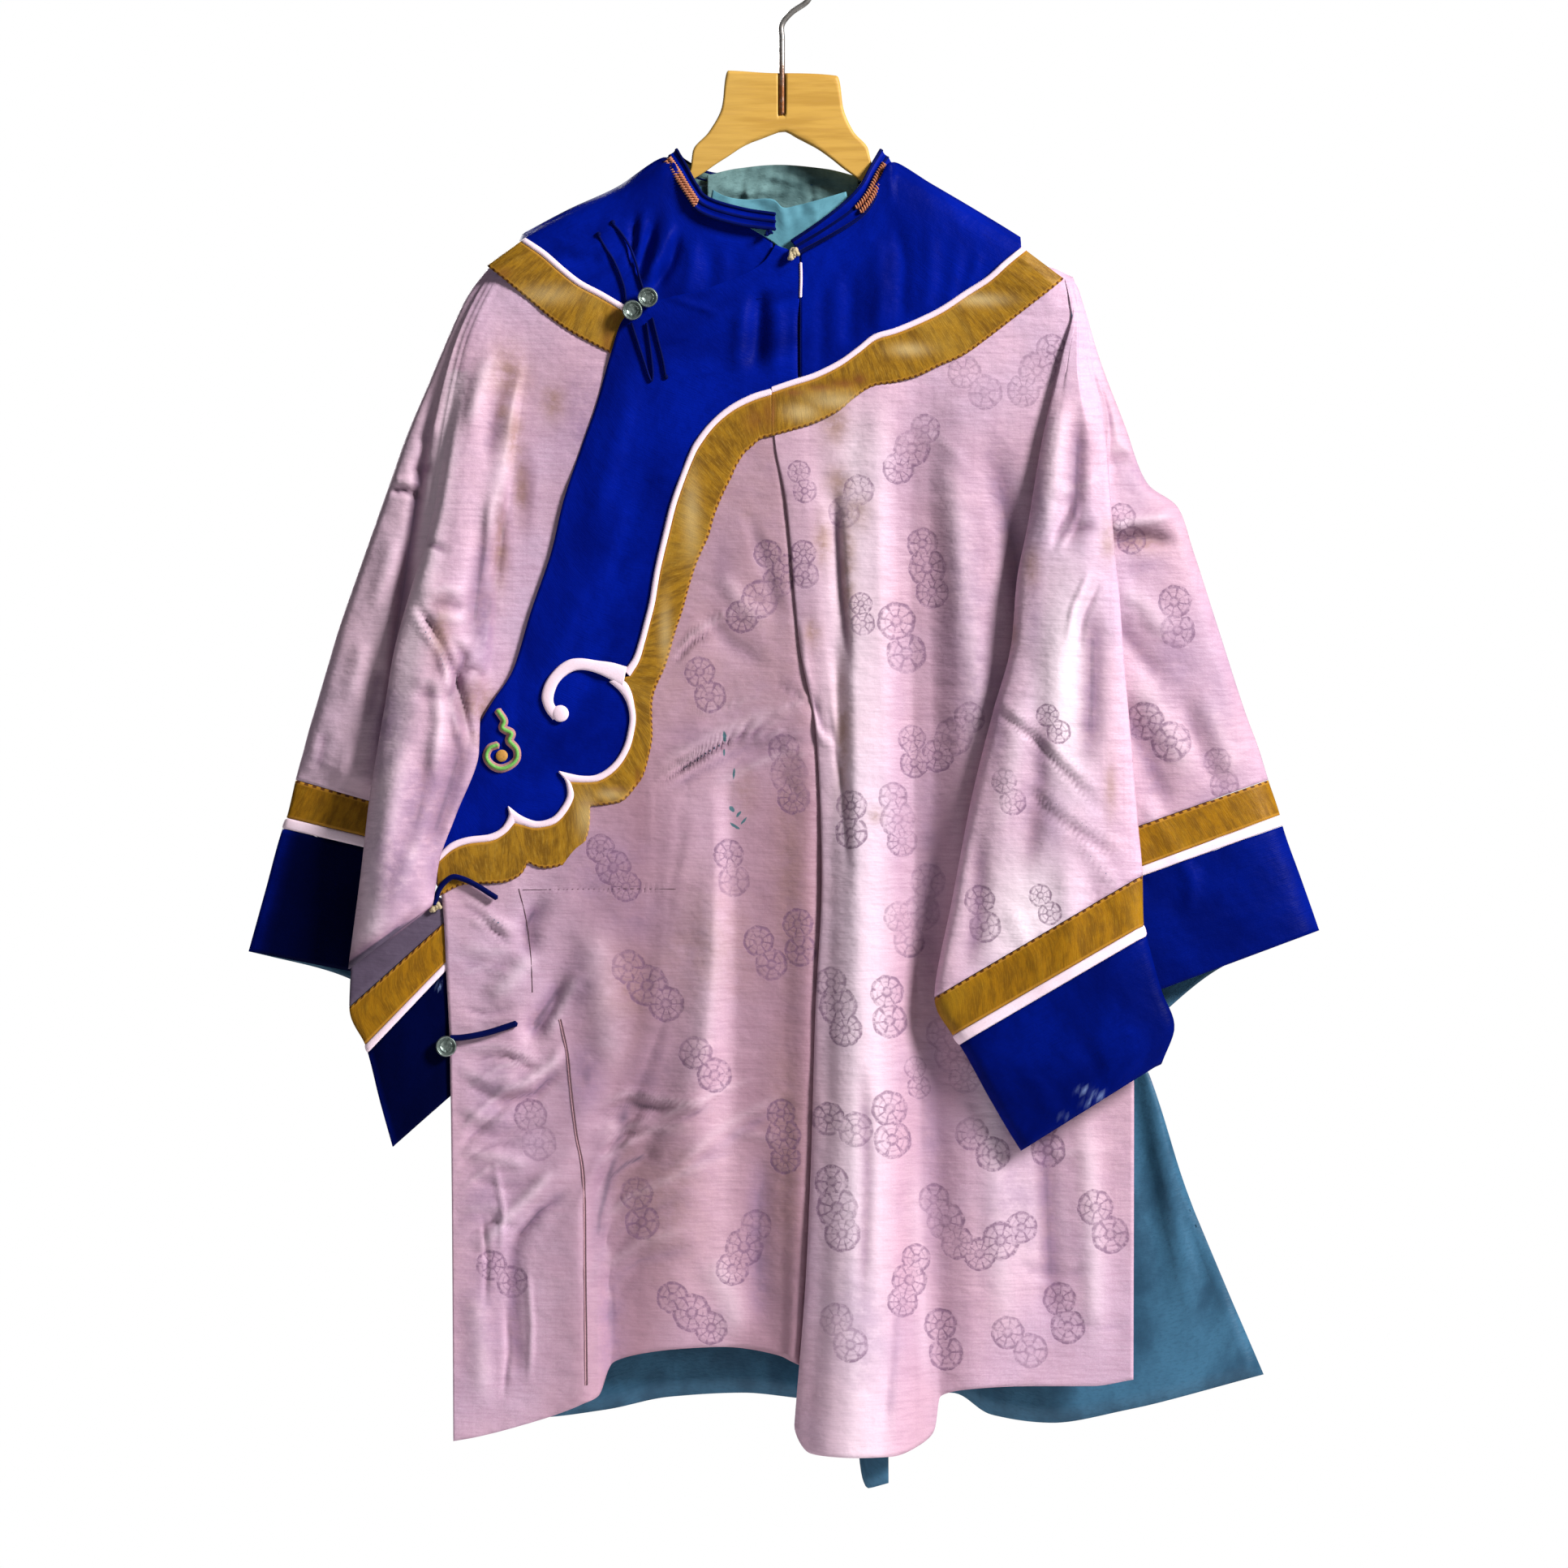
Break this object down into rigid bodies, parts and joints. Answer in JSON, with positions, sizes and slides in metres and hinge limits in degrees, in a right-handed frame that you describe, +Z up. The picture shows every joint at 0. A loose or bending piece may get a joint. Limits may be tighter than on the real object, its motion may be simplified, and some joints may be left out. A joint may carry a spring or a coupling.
{
  "type": "silk robe on a wooden hanger",
  "caption": "Side-fastening, wide-sleeved silk damask robe with satin yoke and cuffs, gold ribbon borders and teal lining, hung flat on a wooden hanger with a wire hook.",
  "frame": {"origin": "inner top of the hanger's hook, where a rail carries it", "axes": "+Z up; -Y out of the robe's front; +X towards the wearer's left side"},
  "size_m": [0.8182, 0.0812, 1.1794],
  "materials": {
    "lilac_silk": "silk damask, soft sheen, faintly darker ball-flower figures",
    "blue_satin": "royal-blue silk satin",
    "gold_ribbon": "ribbed metallic gold ribbon with a picot edge",
    "pink_piping": "pale pink silk",
    "teal_lining": "plain blue-teal silk",
    "neck_lining": "plain grey-teal silk, worn",
    "copper_braid": "twisted copper-orange braid",
    "navy_cord": "bias-bound satin cord",
    "cream_knot": "knotted cream cord",
    "embroidery": "green floss couched with an orange-gold outline",
    "button_metal": "aged, grey-green, cast relief",
    "hanger_wood": "pale, clear lacquer",
    "hook_wire": "dull, rusty low on the shank"
  },
  "bodies": {
    "root": {"front_left": "lilac_silk", "front_right": "lilac_silk", "sleeve_left": "lilac_silk", "sleeve_right": "lilac_silk", "back": "lilac_silk", "yoke_left": "blue_satin", "yoke_right": "blue_satin", "flap": "blue_satin", "cuff_satin_left": "blue_satin", "cuff_satin_right": "blue_satin", "collar_right": "blue_satin", "collar_left": "blue_satin", "collar_back": "blue_satin", "border_left_ribbon": "gold_ribbon", "border_under_ribbon": "gold_ribbon", "border_flap_ribbon": "gold_ribbon", "cuff_ribbon_left": "gold_ribbon", "cuff_ribbon_right": "gold_ribbon", "border_left_piping": "pink_piping", "border_under_piping": "pink_piping", "border_flap_piping": "pink_piping", "cuff_piping_left": "pink_piping", "cuff_piping_right": "pink_piping", "scroll": "pink_piping", "scroll_ball": "pink_piping", "back_lining": "teal_lining", "underlap": "teal_lining", "neck_lining": "neck_lining", "braid_right": "copper_braid", "braid_left": "copper_braid", "frog_upper_a": "navy_cord", "frog_upper_b": "navy_cord", "frog_lower_a": "navy_cord", "frog_lower_b": "navy_cord", "side_cord": "navy_cord", "side_strap": "navy_cord", "neck_knot": "cream_knot", "side_knot": "cream_knot", "cloud": "embroidery", "button_lower": "button_metal", "button_upper": "button_metal", "side_button": "button_metal", "hanger_wood": "hanger_wood", "hanger_hook": "hook_wire"}
  },
  "joints": []
}
